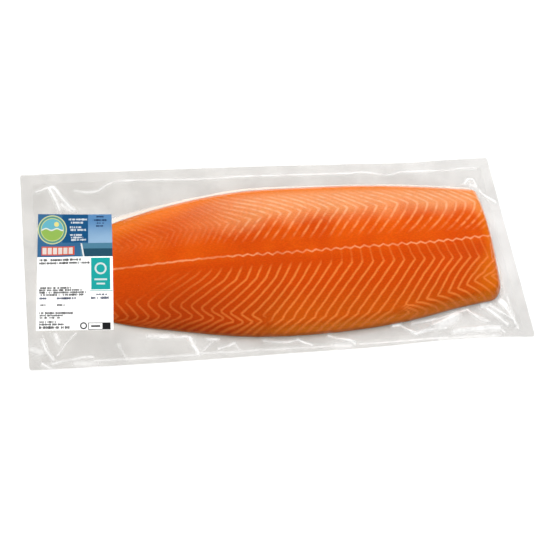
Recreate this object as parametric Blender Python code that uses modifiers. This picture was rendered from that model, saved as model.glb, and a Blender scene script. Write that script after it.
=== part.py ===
# A side of salmon, vacuum packed in a clear sealed bag that lies flat, with a printed label stuck on.
# Metres, +Z up. The origin is the middle of the bag's flat underside, and +X runs from tail to head.
# The film clings to the fish, so bag and fillet are one solid out to the film's outer face.
import math

import bmesh
import bpy
import numpy as np

# The bag and its welded edges
BAG_LENGTH = 0.540
BAG_WIDTH = 0.234
BAG_CORNER_RADIUS = 0.0025
FILM_THICKNESS = 0.0010
SIDE_SEAL = 0.0125
FRONT_SEAL = 0.008
BACK_SEAL = 0.0135
SEAL_BEAD = 0.0005
SEAL_BEAD_HALF_WIDTH = 0.0025

# How far the bag's long edges are drawn in at places along its length
DRAWN_X = np.array([-0.270, -0.135, 0.000, 0.100, 0.180, 0.216, 0.270])
FRONT_DRAWN_IN = np.array([0.0015, 0.0, 0.0005, 0.001, 0.0035, 0.003, 0.0])
BACK_DRAWN_IN = np.array([0.0005, 0.0, 0.0005, 0.002, 0.003, 0.0015, 0.0005])

# The fillet at stations from tail to head: its front edge, its back edge and its greatest thickness
STATION_X = np.array([-0.236, -0.180, -0.117, -0.045, 0.045, 0.135, 0.198, 0.243])
FRONT_EDGE = np.array([-0.0465, -0.0693, -0.0831, -0.0946, -0.0966, -0.0883, -0.0760, -0.0696])
BACK_EDGE = np.array([0.0206, 0.0476, 0.0670, 0.0801, 0.0829, 0.0805, 0.0753, 0.0704])
THICKNESS = np.array([0.0075, 0.0130, 0.0200, 0.0255, 0.0290, 0.0300, 0.0285, 0.0260])
TAIL_X = -0.236
HEAD_X = 0.245
HEAD_BULGE = 0.3
HEAD_FRONT_CORNER_RADIUS = 0.016
HEAD_BACK_CORNER_RADIUS = 0.009
TAIL_CORNER_RADIUS = 0.018
CREST_TOWARDS_BACK = 0.12
EDGE_SHARE = 0.46

# The fillet's rounded edge, and how far out the taut film meets the table: tight, but slack at the tail
EDGE_ROUNDING = 0.011
TAIL_ROUNDING = 0.018
FILM_REACH = 0.006
TAIL_REACH = 0.022
SLACK_FROM_X = -0.135
SLACK_TO_X = -0.194
MELT = 0.0012
FOOT_TO_WELD = 0.002

# The label
LABEL_WIDTH = 0.078
LABEL_HEIGHT = 0.138
LABEL_X = -0.2183
LABEL_Y = -0.0063
LABEL_TURN = math.radians(-3.5)
LABEL_THICKNESS = 0.0003
LABEL_GAP = 0.0004
LABEL_FADE = 0.0055

# Folds in the film round the fish: both ends (x, y), half width and height. Their flanks are hollow,
# and they hold their height nearly to their ends
FLANK_HOLLOW = 1.4
END_BLUNTNESS = 6
FOLDS = [
    (-0.255, 0.091, -0.236, 0.100, 0.0054, 0.0018),
    (-0.240, 0.099, -0.219, 0.045, 0.0054, 0.0022),
    (-0.236, 0.099, -0.197, 0.048, 0.0072, 0.0030),
    (-0.213, 0.096, -0.172, 0.097, 0.0072, 0.0012),
    (-0.244, -0.109, -0.257, -0.067, 0.0072, 0.0026),
    (-0.238, -0.094, -0.245, -0.063, 0.0072, 0.0020),
    (-0.242, -0.104, -0.209, -0.065, 0.0054, 0.0020),
    (-0.245, -0.109, -0.203, -0.104, 0.0054, 0.0018),
    (-0.180, -0.090, -0.173, -0.110, 0.0054, 0.0018),
    (-0.155, -0.088, -0.115, -0.095, 0.0072, 0.0024),
    (-0.113, -0.093, -0.100, -0.109, 0.0054, 0.0022),
    (-0.089, -0.109, -0.076, -0.099, 0.0054, 0.0016),
    (0.036, -0.104, 0.075, -0.109, 0.0054, 0.0020),
    (0.110, -0.095, 0.138, -0.104, 0.0063, 0.0026),
    (0.135, -0.105, 0.200, -0.082, 0.0072, 0.0034),
    (0.194, -0.081, 0.225, -0.099, 0.0063, 0.0028),
    (0.176, -0.103, 0.236, -0.102, 0.0054, 0.0022),
    (0.225, -0.072, 0.251, -0.104, 0.0063, 0.0034),
    (0.241, -0.068, 0.255, -0.101, 0.0054, 0.0028),
    (0.232, 0.070, 0.242, 0.088, 0.0054, 0.0022),
    (0.241, 0.088, 0.250, 0.070, 0.0054, 0.0022),
    (0.241, 0.070, 0.268, 0.054, 0.0054, 0.0024),
]

# How many faces each stretch of the bag's grid has, along its length and across it
COLUMN_STOPS = [-0.270, -0.258, -0.216, 0.216, 0.258, 0.270]
COLUMN_FACES = [3, 10, 76, 14, 4]
ROW_FACES = [2, 4, 5, 8, 5, 7, 3]
LABEL_COLUMNS = 18
LABEL_ROWS = 30

FLESH_COLOUR = (0.80, 0.17, 0.025, 1.0)
FILM_COLOUR = (0.78, 0.77, 0.74, 1.0)
LABEL_COLOUR = (0.90, 0.91, 0.92, 1.0)


def clear_scene():
    for obj in list(bpy.data.objects):
        bpy.data.objects.remove(obj, do_unlink=True)


def move_to(obj, collection):
    for holder in list(obj.users_collection):
        holder.objects.unlink(obj)
    collection.objects.link(obj)


def material(name, colour, roughness):
    made = bpy.data.materials.new(name)
    made.use_nodes = True
    shader = made.node_tree.nodes["Principled BSDF"]
    shader.inputs["Base Color"].default_value = colour
    shader.inputs["Roughness"].default_value = roughness
    shader.inputs["Metallic"].default_value = 0.0
    return made


def between(x, stops, values):
    """A smooth curve through the values at the stops, level beyond the first and the last."""
    x = np.clip(x, stops[0], stops[-1])
    slopes = np.gradient(values, stops)
    i = np.clip(np.searchsorted(stops, x) - 1, 0, len(stops) - 2)
    width = stops[i + 1] - stops[i]
    t = (x - stops[i]) / width
    return (
        values[i] * (1 + 2 * t) * (1 - t) ** 2
        + slopes[i] * width * t * (1 - t) ** 2
        + values[i + 1] * t**2 * (3 - 2 * t)
        - slopes[i + 1] * width * t**2 * (1 - t)
    )


def ease(low, high, value):
    t = np.clip((value - low) / (high - low), 0, 1)
    return t * t * (3 - 2 * t)


def tail_share(x):
    """1 where the film is slack over the tail, 0 where it is tight."""
    return ease(SLACK_FROM_X, SLACK_TO_X, x)


def depth_inside(x, y):
    """Distance in from the fillet's outline, seen from above. It is below zero outside."""
    gaps = np.stack(
        [
            y - between(x, STATION_X, FRONT_EDGE),
            between(x, STATION_X, BACK_EDGE) - y,
            HEAD_X - HEAD_BULGE * y**2 - x,
            x - TAIL_X,
        ]
    )
    head_corner_radius = np.where(y > 0, HEAD_BACK_CORNER_RADIUS, HEAD_FRONT_CORNER_RADIUS)
    corner_radius = np.where(x > 0, head_corner_radius, TAIL_CORNER_RADIUS)
    short = np.maximum(corner_radius - gaps, 0)
    rounded = corner_radius - np.sqrt((short**2).sum(axis=0))
    return np.where(short.max(axis=0) > 0, rounded, gaps.min(axis=0))


def flesh_height(x, y):
    """The fillet's thickness, crowned from edge to edge, before its rim is rounded."""
    front = between(x, STATION_X, FRONT_EDGE)
    back = between(x, STATION_X, BACK_EDGE)
    half = (back - front) / 2
    across = np.clip((y - (front + back) / 2) / half, -1, 1)
    skew = across - CREST_TOWARDS_BACK * (1 - across**2)
    return between(x, STATION_X, THICKNESS) * (EDGE_SHARE + (1 - EDGE_SHARE) * (1 - skew**2))


def wrap_share(depth, rounding, reach):
    """The share of the full height at a depth: a round edge, then taut film straight down to the table."""
    lean = (reach + rounding) / rounding
    touch = rounding * (1 - 1 / lean)
    line = (depth + reach) / (rounding * np.sqrt(lean**2 - 1))
    round_edge = np.sqrt(np.clip(1 - (1 - np.clip(depth / rounding, 0, 1)) ** 2, 0, 1))
    return np.where(depth > touch, round_edge, np.maximum(line, 0))


def label_cover(x, y):
    """1 under the label, fading to 0 just outside it."""
    along = (x - LABEL_X) * math.cos(LABEL_TURN) + (y - LABEL_Y) * math.sin(LABEL_TURN)
    across = (y - LABEL_Y) * math.cos(LABEL_TURN) - (x - LABEL_X) * math.sin(LABEL_TURN)
    outside = np.maximum(abs(along) - LABEL_WIDTH / 2, abs(across) - LABEL_HEIGHT / 2)
    return 1 - ease(0, LABEL_FADE, outside)


def fold_height(x, y):
    """The tallest fold at each place. A fold has a sharp crest and hollow flanks, and dies out at its ends."""
    tallest = np.zeros_like(x)
    for x0, y0, x1, y1, half_width, height in FOLDS:
        run = np.array([x1 - x0, y1 - y0])
        t = np.clip(((x - x0) * run[0] + (y - y0) * run[1]) / (run @ run), 0, 1)
        away = np.hypot(x - x0 - t * run[0], y - y0 - t * run[1])
        crest = np.clip(1 - away / half_width, 0, 1) ** FLANK_HOLLOW
        tallest = np.maximum(tallest, height * crest * (1 - (2 * t - 1) ** END_BLUNTNESS))
    return tallest * (1 - label_cover(x, y))


def long_edges(x):
    """The y of the bag's front edge and of its back edge."""
    front = -BAG_WIDTH / 2 + np.maximum(between(x, DRAWN_X, FRONT_DRAWN_IN), 0)
    back = BAG_WIDTH / 2 - np.maximum(between(x, DRAWN_X, BACK_DRAWN_IN), 0)
    return front, back


def seal_lines(x):
    """The y of the inner side of the front weld and of the back weld."""
    front, back = long_edges(x)
    return front + FRONT_SEAL, back - BACK_SEAL


def flange_height(x, y):
    """The two films lying together, with a small bead along the welds' inner sides."""
    front, back = seal_lines(x)
    side = BAG_LENGTH / 2 - SIDE_SEAL
    inside = np.minimum(np.minimum(y - front, back - y), side - abs(x))
    bead = np.clip(1 - abs(inside) / SEAL_BEAD_HALF_WIDTH, 0, 1)
    return FILM_THICKNESS + SEAL_BEAD * bead * (1 - label_cover(x, y))


def film_height(x, y):
    """The film's outer face, above the table."""
    slack = tail_share(x)
    rounding = EDGE_ROUNDING + (TAIL_ROUNDING - EDGE_ROUNDING) * slack
    reach = FILM_REACH + (TAIL_REACH - FILM_REACH) * slack
    wrapped = flesh_height(x, y) * wrap_share(depth_inside(x, y), rounding, reach)
    lying = flange_height(x, y) + fold_height(x, y)
    melt = MELT * (1 + 2 * slack)
    blend = np.maximum(melt - abs(wrapped - lying), 0) / melt
    return np.maximum(wrapped, lying) + blend**2 * melt / 4


def spread(stops, faces):
    """Places from the first stop to the last, each stretch divided evenly."""
    runs = [np.linspace(a, b, n, endpoint=False) for a, b, n in zip(stops, stops[1:], faces)]
    return np.append(np.concatenate(runs), stops[-1])


def row_places(x):
    """The y of each grid row at x. The rows gather along the fillet's edges, where the film bends most."""
    front, back = long_edges(x)
    front_seal, back_seal = seal_lines(x)
    reach = FILM_REACH + (TAIL_REACH - FILM_REACH) * tail_share(x)
    rounding = EDGE_ROUNDING + (TAIL_ROUNDING - EDGE_ROUNDING) * tail_share(x)
    fish_front = float(between(x, STATION_X, FRONT_EDGE))
    fish_back = float(between(x, STATION_X, BACK_EDGE))
    foot_front = max(fish_front - reach, front_seal + FOOT_TO_WELD)
    stops = [
        front,
        front_seal,
        foot_front,
        fish_front + rounding,
        fish_back - rounding,
        fish_back + reach,
        back_seal,
        back,
    ]
    return spread(stops, ROW_FACES)


def round_corners(x, y):
    """Moves the bag's four corner points in to its corner radius."""
    cut = BAG_CORNER_RADIUS * (1 - math.sqrt(0.5))
    at_corner = (abs(x) > BAG_LENGTH / 2 - 1e-6) & (abs(y) > BAG_WIDTH / 2 - BAG_CORNER_RADIUS / 2)
    return x - np.sign(x) * cut * at_corner, y - np.sign(y) * cut * at_corner


def close_underneath(mesh):
    """Walls from the sheet's rim down to the table, and a flat underside."""
    work = bmesh.new()
    work.from_mesh(mesh)
    rim = [edge for edge in work.edges if edge.is_boundary]
    made = bmesh.ops.extrude_edge_only(work, edges=rim)["geom"]
    for item in made:
        if isinstance(item, bmesh.types.BMVert):
            item.co.z = 0.0
    base_edges = [edge for edge in work.edges if edge.is_boundary]
    bmesh.ops.edgeloop_fill(work, edges=base_edges)
    bmesh.ops.recalc_face_normals(work, faces=work.faces)
    work.to_mesh(mesh)
    work.free()


def colour_by_contents(mesh, flesh, film):
    """The fish shows through the film where the film lies on it, and the rest is film."""
    mesh.materials.append(flesh)
    mesh.materials.append(film)
    for face in mesh.polygons:
        x, y, _ = face.center
        on_fish = float(depth_inside(np.array(x), np.array(y))) > 0 and face.normal.z > 0
        face.material_index = 0 if on_fish else 1


def make_bag(collection):
    columns = spread(COLUMN_STOPS, COLUMN_FACES)
    bpy.ops.mesh.primitive_grid_add(
        x_subdivisions=len(columns) - 1, y_subdivisions=sum(ROW_FACES), size=1.0
    )
    bag = bpy.context.object
    bag.name = bag.data.name = "bag"
    rows = np.array([row_places(x) for x in columns])
    x, y = round_corners(np.tile(columns, rows.shape[1]), rows.T.ravel())
    bag.data.vertices.foreach_set("co", np.stack([x, y, film_height(x, y)], axis=1).ravel())
    close_underneath(bag.data)
    colour_by_contents(
        bag.data,
        material("salmon through film", FLESH_COLOUR, 0.25),
        material("clear film", FILM_COLOUR, 0.15),
    )
    move_to(bag, collection)
    return bag


def make_label(collection, bag):
    """A thin sheet laid on the film from above, which keeps a hair's gap to it."""
    bpy.ops.mesh.primitive_grid_add(
        x_subdivisions=LABEL_COLUMNS, y_subdivisions=LABEL_ROWS, size=1.0
    )
    label = bpy.context.object
    label.name = label.data.name = "label"
    for vert in label.data.vertices:
        vert.co.x *= LABEL_WIDTH
        vert.co.y *= LABEL_HEIGHT
    label.location = (LABEL_X, LABEL_Y, max(THICKNESS))
    label.rotation_euler.z = LABEL_TURN
    lay = label.modifiers.new("Lay on the film", "SHRINKWRAP")
    lay.target = bag
    lay.wrap_method = "PROJECT"
    lay.wrap_mode = "ABOVE_SURFACE"
    lay.use_project_z = True
    lay.use_positive_direction = False
    lay.use_negative_direction = True
    lay.offset = LABEL_GAP
    sheet = label.modifiers.new("Paper", "SOLIDIFY")
    sheet.thickness = LABEL_THICKNESS
    sheet.offset = 1.0
    label.data.materials.append(material("printed label", LABEL_COLOUR, 0.45))
    move_to(label, collection)


def main():
    clear_scene()
    collection = bpy.data.collections.new("Vacuum-packed salmon fillet")
    bpy.context.scene.collection.children.link(collection)
    bag = make_bag(collection)
    make_label(collection, bag)


main()
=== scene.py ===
# A raw salmon fillet, vacuum-packed in a clear welded bag with a printed label on its tail end.
# Metres, Z up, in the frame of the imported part.
import math

import bpy
import numpy as np
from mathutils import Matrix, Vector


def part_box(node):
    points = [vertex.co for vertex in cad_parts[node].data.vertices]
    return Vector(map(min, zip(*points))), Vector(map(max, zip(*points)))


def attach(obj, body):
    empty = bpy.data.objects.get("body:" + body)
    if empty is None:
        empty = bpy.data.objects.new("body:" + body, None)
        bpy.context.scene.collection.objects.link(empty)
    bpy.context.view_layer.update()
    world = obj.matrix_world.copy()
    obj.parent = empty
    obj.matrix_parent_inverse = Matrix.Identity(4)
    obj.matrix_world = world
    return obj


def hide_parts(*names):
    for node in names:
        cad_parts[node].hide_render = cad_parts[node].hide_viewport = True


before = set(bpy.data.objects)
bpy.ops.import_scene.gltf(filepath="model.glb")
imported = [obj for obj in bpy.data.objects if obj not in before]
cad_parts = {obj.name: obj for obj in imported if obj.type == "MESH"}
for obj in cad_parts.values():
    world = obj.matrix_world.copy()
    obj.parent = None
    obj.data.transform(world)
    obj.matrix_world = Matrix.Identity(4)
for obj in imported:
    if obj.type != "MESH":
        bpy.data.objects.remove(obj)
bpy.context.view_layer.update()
bagLow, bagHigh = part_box("bag")
print("frame loaded")

# The fillet's plan, read from tail to head
fillet = {
    "stationX": [-0.236, -0.180, -0.117, -0.045, 0.045, 0.135, 0.198, 0.243],
    "frontEdge": [-0.0465, -0.0693, -0.0831, -0.0946, -0.0966, -0.0883, -0.0760, -0.0696],
    "backEdge": [0.0206, 0.0476, 0.0670, 0.0801, 0.0829, 0.0805, 0.0753, 0.0704],
    "thickness": [0.0075, 0.0130, 0.0200, 0.0255, 0.0290, 0.0300, 0.0285, 0.0260],
    "tailX": -0.236,
    "headX": 0.245,
    "headBulge": 0.3,
    "cornerRadii": (0.018, 0.016, 0.009),   # tail, head front, head back
    "crestTowardsBack": 0.12,
    "edgeShare": 0.46,         # height at the cut edges, as a share of the crest
    "edgeRounding": 0.011,
    "gapToFilm": 0.00035,
    "seamGroove": 0.00008,
    "restHeight": 0.0004,      # on the bag's lower film
    "leastThickness": 0.0002,
    "columns": 330,
    "rows": 118,
    "roundingSteps": 13,
}

# The bag: two films welded along four sides
pouch = {
    "filmThickness": 0.0010,
    "sideSeal": 0.0125,
    "frontSeal": 0.008,
    "backSeal": 0.0135,
    "sealBead": 0.0005,
    "beadHalfWidth": 0.0025,
    "cornerRadius": 0.0025,
    "drawnX": [-0.270, -0.135, 0.000, 0.100, 0.180, 0.216, 0.270],
    "frontDrawnIn": [0.0015, 0.0, 0.0005, 0.001, 0.0035, 0.003, 0.0],
    "backDrawnIn": [0.0005, 0.0, 0.0005, 0.002, 0.003, 0.0015, 0.0005],
    "filmReach": 0.006,        # how far the film bridges to the weld at the flesh
    "tailReach": 0.022,
    "tailRounding": 0.018,
    "slackFromX": -0.135,
    "slackToX": -0.194,
    "melt": 0.0012,
    "columns": 468,
    "rowStops": [-1.0, -0.60, -0.38, 0.30, 0.50, 1.0],   # shares of the half width
    "rowFaces": [60, 16, 32, 16, 66],
    # how unevenly the film lies: how much, and how wide each hill is
    "unevenReach": (0.45, 0.021),
    "waves": (0.0003, 0.016),
    "crinkles": (0.0003, 0.010),
}

# Folds of the slack film, in millimetres: start x, y, end x, y, half width, height
folds = [
    (-255, 91, -236, 100, 5.4, 1.8),
    (-240, 99, -219, 45, 5.4, 2.2),
    (-236, 99, -197, 48, 7.2, 3),
    (-213, 96, -172, 97, 7.2, 1.2),
    (-244, -109, -257, -67, 7.2, 2.6),
    (-238, -94, -245, -63, 7.2, 2),
    (-242, -104, -209, -65, 5.4, 2),
    (-245, -109, -203, -104, 5.4, 1.8),
    (-180, -90, -173, -110, 5.4, 1.8),
    (-155, -88, -115, -95, 7.2, 2.4),
    (-113, -93, -100, -109, 5.4, 2.2),
    (-89, -109, -76, -99, 5.4, 1.6),
    (36, -104, 75, -109, 5.4, 2),
    (110, -95, 138, -104, 6.3, 2.6),
    (135, -105, 200, -82, 7.2, 3.4),
    (194, -81, 225, -99, 6.3, 2.8),
    (176, -103, 236, -102, 5.4, 2.2),
    (225, -72, 251, -104, 6.3, 3.4),
    (241, -68, 255, -101, 5.4, 2.8),
    (232, 70, 242, 88, 5.4, 2.2),
    (241, 88, 250, 70, 5.4, 2.2),
    (241, 70, 268, 54, 5.4, 2.4),
]
foldFlankHollow = 1.4
foldEndBluntness = 6

# Painted highlights on the film's creases, white haze that stands for light caught on the folds, in
# millimetres: the points of each line, its half width, how white it is
highlightCreases = [
    ([(112, -94.7), (121, -94.2), (130, -102), (136, -105.3), (150, -102.1), (171, -100.3)], 2.2, 0.95),
    ([(161, -98.2), (177, -91.6), (186, -87.5)], 8.0, 1.0),
    ([(134, -93.2), (167, -88.6), (181, -85), (197, -81.2)], 2.0, 0.9),
    ([(200, -80.6), (206, -88.3), (213, -94.4), (219, -96.5)], 2.6, 1.0),
    ([(179, -105.5), (197, -104.2), (220, -104.2), (231, -104.5)], 3.8, 1.0),
    ([(181, -106.5), (203, -106.8), (231, -108.1)], 1.7, 0.6),
    ([(230, -103.7), (236, -109.6)], 1.7, 0.8),
    ([(217, -77.6), (227, -76.2)], 3.0, 1.0),
    ([(240, -72.7), (244.5, -78.5)], 5.0, 1.0),
    ([(222, -78.8), (230, -87.7), (242, -100.8)], 2.5, 0.95),
    ([(226, -77), (235.5, -86.8), (249, -95.5), (250.6, -104.7)], 2.0, 1.0),
    ([(240, -75), (246, -85.5), (249, -94.4), (252.5, -106.1)], 2.0, 0.95),
    ([(243, -72.3), (248, -85.1), (250, -94.6)], 1.5, 0.8),
    ([(249.6, -66.7), (250.2, -81.9), (251.4, -92.9)], 1.5, 0.6),
    ([(73, -112.1), (106, -112.1), (145, -111.4), (171, -111.5)], 1.4, 0.6),
    ([(162, -113.8), (230, -114)], 5.0, 0.5),
    ([(-256, -83.8), (-253, -95.2), (-246, -106.8)], 2.0, 0.9),
    ([(-243, -77), (-240, -87.6)], 2.8, 0.9),
    ([(-222, -78.6), (-232, -89), (-241, -101.6)], 1.8, 0.5),
    ([(-247.5, -110.7), (-230, -108.2), (-214, -106), (-207, -106.3)], 1.8, 0.7),
    ([(-225, -111.3), (-204, -114)], 5.0, 0.35),
    ([(-257, -109.9), (-250, -114.9), (-244, -117)], 2.0, 0.7),
    ([(-267, -93.7), (-257, -96.9)], 5.0, 0.4),
    ([(-180, -95), (-172.6, -111.9)], 2.0, 0.5),
    ([(-148, -88.0), (-137, -88.6), (-122, -89.0)], 4.4, 0.5),
    ([(-137, -90.1), (-108, -90.3)], 2.8, 0.6),
    ([(-106, -91.3), (-103, -101.8), (-99.6, -109.6)], 2.8, 0.9),
    ([(-205, -110.6), (-170, -111), (-139, -111.5), (-98, -111.3)], 1.4, 0.5),
    ([(-88, -95), (-77, -96)], 2.0, 0.9),
    ([(-84, -98.4), (-93, -106.6)], 1.8, 0.4),
    ([(-78, -106.6), (-65, -103.1), (-60, -100.9)], 1.8, 0.6),
    ([(-61, -100.8), (-56, -109.5)], 1.6, 0.4),
    ([(-30, -101), (-18, -103.2), (-2, -104.3), (7, -102.6), (14, -106.4), (21, -109.4)], 1.8, 0.85),
    ([(40, -100.3), (48, -103.9), (62, -107.6), (67.5, -111.2)], 2.0, 0.9),
    ([(47, -111.5), (61, -112.4)], 5.2, 0.4),
    ([(-98, -109.8), (-61, -111.2), (-33, -111.1), (8, -111.8), (46, -112.3)], 1.4, 0.4),
    ([(233, 80.5), (239, 86.6), (245, 85.8), (247, 74.7)], 1.8, 0.8),
    ([(240, 79.7), (246, 75)], 3.6, 0.7),
    ([(249, 70.1), (254, 62), (261, 56.7), (265, 54.2)], 1.8, 1.0),
    ([(-254, 93), (-244, 96.6), (-237, 98.6)], 2.0, 0.8),
    ([(-240, 97.2), (-234, 81.3), (-229, 64.2)], 1.9, 1.0),
    ([(-235.5, 98.7), (-227, 83.3), (-219, 71.7), (-211, 63.2)], 2.2, 1.0),
    ([(-227, 75), (-216, 64.7)], 3.6, 0.5),
    ([(-212, 92.3), (-198, 90), (-187, 91.3), (-176, 99.8), (-170, 102.3), (-160, 103.2)], 1.9, 0.55),
    ([(-160, 103.2), (-140, 103.6), (-90, 102), (-57, 101.8), (-28, 103.1), (100, 101.4), (114, 102.9)],
     1.4, 0.6),
    ([(114, 102.9), (129, 99.9), (144.5, 97.3), (160, 100.8), (220, 100.3), (231, 102.3), (252, 102.1)],
     1.4, 0.6),
]
creaseHeight = 0.00035

# The printed label, stuck on the outside of the bag
sticker = {
    "width": 0.078,
    "height": 0.138,
    "x": -0.2183,
    "y": -0.0063,
    "turn": math.radians(-3.5),
    "aboveFilm": 0.00040,
    "thickness": 0.00025,
    "fade": 0.0055,            # how soon the film's own relief returns outside it
    "slant": (0.026, 0.43),
    "columns": 60,
    "rows": 104,
}


def between(x, stops, values):
    # a smooth curve through the values, level beyond both ends
    stops, values = np.array(stops), np.array(values)
    slopes = np.gradient(values, stops)
    x = np.clip(x, stops[0], stops[-1])
    i = np.clip(np.searchsorted(stops, x, side="right") - 1, 0, len(stops) - 2)
    width = stops[i + 1] - stops[i]
    t = (x - stops[i]) / width
    here = values[i] * (1 + 2 * t) * (1 - t) ** 2 + slopes[i] * width * t * (1 - t) ** 2
    there = values[i + 1] * t**2 * (3 - 2 * t) - slopes[i + 1] * width * t**2 * (1 - t)
    return here + there


def ease(low, high, value):
    t = np.clip((value - low) / (high - low), 0, 1)
    return t * t * (3 - 2 * t)


def unevenness(x, y, cell, seed):
    # soft random hills between -1 and 1, one for each cell
    lattice = np.random.default_rng(seed).uniform(-1, 1, (64, 64))
    u, v = x / cell + 31.3, y / cell + 31.7
    column, row = np.floor(u).astype(int), np.floor(v).astype(int)
    a, b = ease(0, 1, u - column), ease(0, 1, v - row)

    def corner(i, j):
        return lattice[(column + i) % 64, (row + j) % 64]

    near = corner(0, 0) * (1 - a) + corner(1, 0) * a
    far = corner(0, 1) * (1 - a) + corner(1, 1) * a
    return near * (1 - b) + far * b


def edgesOfFlesh(x):
    return [between(x, fillet["stationX"], fillet[edge]) for edge in ("frontEdge", "backEdge")]


def cornerRadius(x, y):
    tail, headFront, headBack = fillet["cornerRadii"]
    return np.where(x > 0, np.where(y > 0, headBack, headFront), tail)


def depthInside(x, y):
    # distance in from the fillet's outline, with its corners rounded
    front, back = edgesOfFlesh(x)
    headEnd = fillet["headX"] - fillet["headBulge"] * y**2
    gaps = np.stack([y - front, back - y, headEnd - x, x - fillet["tailX"]])
    radius = cornerRadius(x, y)
    short = np.maximum(radius - gaps, 0)
    rounded = radius - np.sqrt((short**2).sum(axis=0))
    return np.where(short.max(axis=0) > 0, rounded, gaps.min(axis=0))


def fleshHeight(x, y):
    front, back = edgesOfFlesh(x)
    across = np.clip((y - (front + back) / 2) / ((back - front) / 2), -1, 1)
    skewed = across - fillet["crestTowardsBack"] * (1 - across**2)
    share = fillet["edgeShare"] + (1 - fillet["edgeShare"]) * (1 - skewed**2)
    return between(x, fillet["stationX"], fillet["thickness"]) * share


def roundEdge(depth, rounding):
    return np.sqrt(np.clip(1 - (1 - np.clip(depth / rounding, 0, 1)) ** 2, 0, 1))


def wrapShare(depth, rounding, reach):
    # the film follows the rounded edge as far as the straight line that reaches the weld
    lean = (reach + rounding) / rounding
    touch = rounding * (1 - 1 / lean)
    line = (depth + reach) / (rounding * np.sqrt(lean**2 - 1))
    return np.where(depth > touch, roundEdge(depth, rounding), np.maximum(line, 0))


def labelCover(x, y):
    # 1 under the label, 0 away from it
    turn = sticker["turn"]
    offX, offY = x - sticker["x"], y - sticker["y"]
    along = offX * math.cos(turn) + offY * math.sin(turn)
    across = offY * math.cos(turn) - offX * math.sin(turn)
    outside = np.maximum(np.abs(along) - sticker["width"] / 2, np.abs(across) - sticker["height"] / 2)
    return 1 - ease(0, sticker["fade"], outside)


def besideLine(x, y, startX, startY, endX, endY):
    # how far along a straight line a point lies, from 0 to 1, and how far away from it
    runX, runY = endX - startX, endY - startY
    t = ((x - startX) * runX + (y - startY) * runY) / (runX**2 + runY**2)
    t = np.clip(t, 0, 1)
    return t, np.hypot(x - startX - t * runX, y - startY - t * runY)


def foldHeight(x, y):
    tallest = np.zeros_like(x)
    for *ends, halfWidth, height in folds:
        t, away = besideLine(x * 1000, y * 1000, *ends)
        flank = np.clip(1 - away / halfWidth, 0, 1) ** foldFlankHollow
        tallest = np.maximum(tallest, height * flank * (1 - (2 * t - 1) ** foldEndBluntness))
    return tallest / 1000 * (1 - labelCover(x, y))


def creaseShares(x, y):
    # the painted highlight on the film's creases, and how far each stands up
    white, raised = np.zeros_like(x), np.zeros_like(x)
    for line, halfWidth, strength in highlightCreases:
        for start, end in zip(line, line[1:]):
            away = besideLine(x * 1000, y * 1000, *start, *end)[1]
            core, halo = ease(halfWidth, 0.1 * halfWidth, away), ease(3 * halfWidth, 0, away)
            profile = strength * (0.8 * core + 0.2 * halo)
            white = np.maximum(white, profile)
            raised = np.maximum(raised, profile * min(1, 2 / halfWidth))
    uncovered = 1 - labelCover(x, y)
    return white * uncovered, raised * uncovered


def longEdges(x):
    half = (bagHigh.y - bagLow.y) / 2
    front = -half + np.maximum(between(x, pouch["drawnX"], pouch["frontDrawnIn"]), 0)
    back = half - np.maximum(between(x, pouch["drawnX"], pouch["backDrawnIn"]), 0)
    return front, back


def insideSeal(x, y):
    # distance in from the welds' inner line, below 0 on the welded bands
    front, back = longEdges(x)
    side = bagHigh.x - pouch["sideSeal"] - np.abs(x)
    return np.minimum(np.minimum(y - front - pouch["frontSeal"], back - pouch["backSeal"] - y), side)


def flangeHeight(x, y):
    bead = np.clip(1 - np.abs(insideSeal(x, y)) / pouch["beadHalfWidth"], 0, 1)
    return pouch["filmThickness"] + pouch["sealBead"] * bead * (1 - labelCover(x, y))


def filmHeight(x, y):
    slack = ease(pouch["slackFromX"], pouch["slackToX"], x)
    rounding = fillet["edgeRounding"] + (pouch["tailRounding"] - fillet["edgeRounding"]) * slack
    reach = pouch["filmReach"] + (pouch["tailReach"] - pouch["filmReach"]) * slack
    swing, cell = pouch["unevenReach"]
    reach = reach * (1 + swing * unevenness(x, y, cell, 21))
    wrapped = fleshHeight(x, y) * wrapShare(depthInside(x, y), rounding, reach)
    lying = flangeHeight(x, y) + foldHeight(x, y) + waverHeight(x, y)
    lying = lying + creaseHeight * creaseShares(x, y)[1]
    melt = pouch["melt"] * (1 + 2 * slack)
    blend = np.maximum(melt - np.abs(wrapped - lying), 0) / melt
    return np.minimum(np.maximum(wrapped, lying) + blend**2 * melt / 4, bagHigh.z)


def waverHeight(x, y):
    # low waves and fine crinkles of the loose film, none on the welds or under the label
    loose = ease(0, 0.006, insideSeal(x, y)) * (1 - labelCover(x, y))
    height, cell = pouch["waves"]
    waves = height * (1 + unevenness(x, y * 0.8, cell, 3))
    height, cell = pouch["crinkles"]
    lean = unevenness(x + 0.4 * y, y, cell, 5)
    crinkle = height * np.clip(1 - 5 * np.abs(lean), 0, 1)
    patch = ease(-0.1, 0.5, unevenness(x, y, 0.030, 8))
    return loose * (waves + crinkle * patch)


# Modelling helpers
def deselectAll():
    bpy.ops.object.select_all(action="DESELECT")


def makeActive(piece):
    deselectAll()
    piece.select_set(True)
    bpy.context.view_layer.objects.active = piece


def addGrid(name, columns, rows):
    deselectAll()
    bpy.ops.mesh.primitive_grid_add(x_subdivisions=columns, y_subdivisions=rows, size=2)
    piece = bpy.context.active_object
    piece.name = piece.data.name = name
    return piece


def pointsOf(piece):
    points = np.empty(len(piece.data.vertices) * 3)
    piece.data.vertices.foreach_get("co", points)
    return points.reshape(-1, 3)


def placePoints(piece, x, y, z):
    piece.data.vertices.foreach_set("co", np.stack([x, y, z], axis=1).astype(np.float32).ravel())
    piece.data.update()


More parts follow.
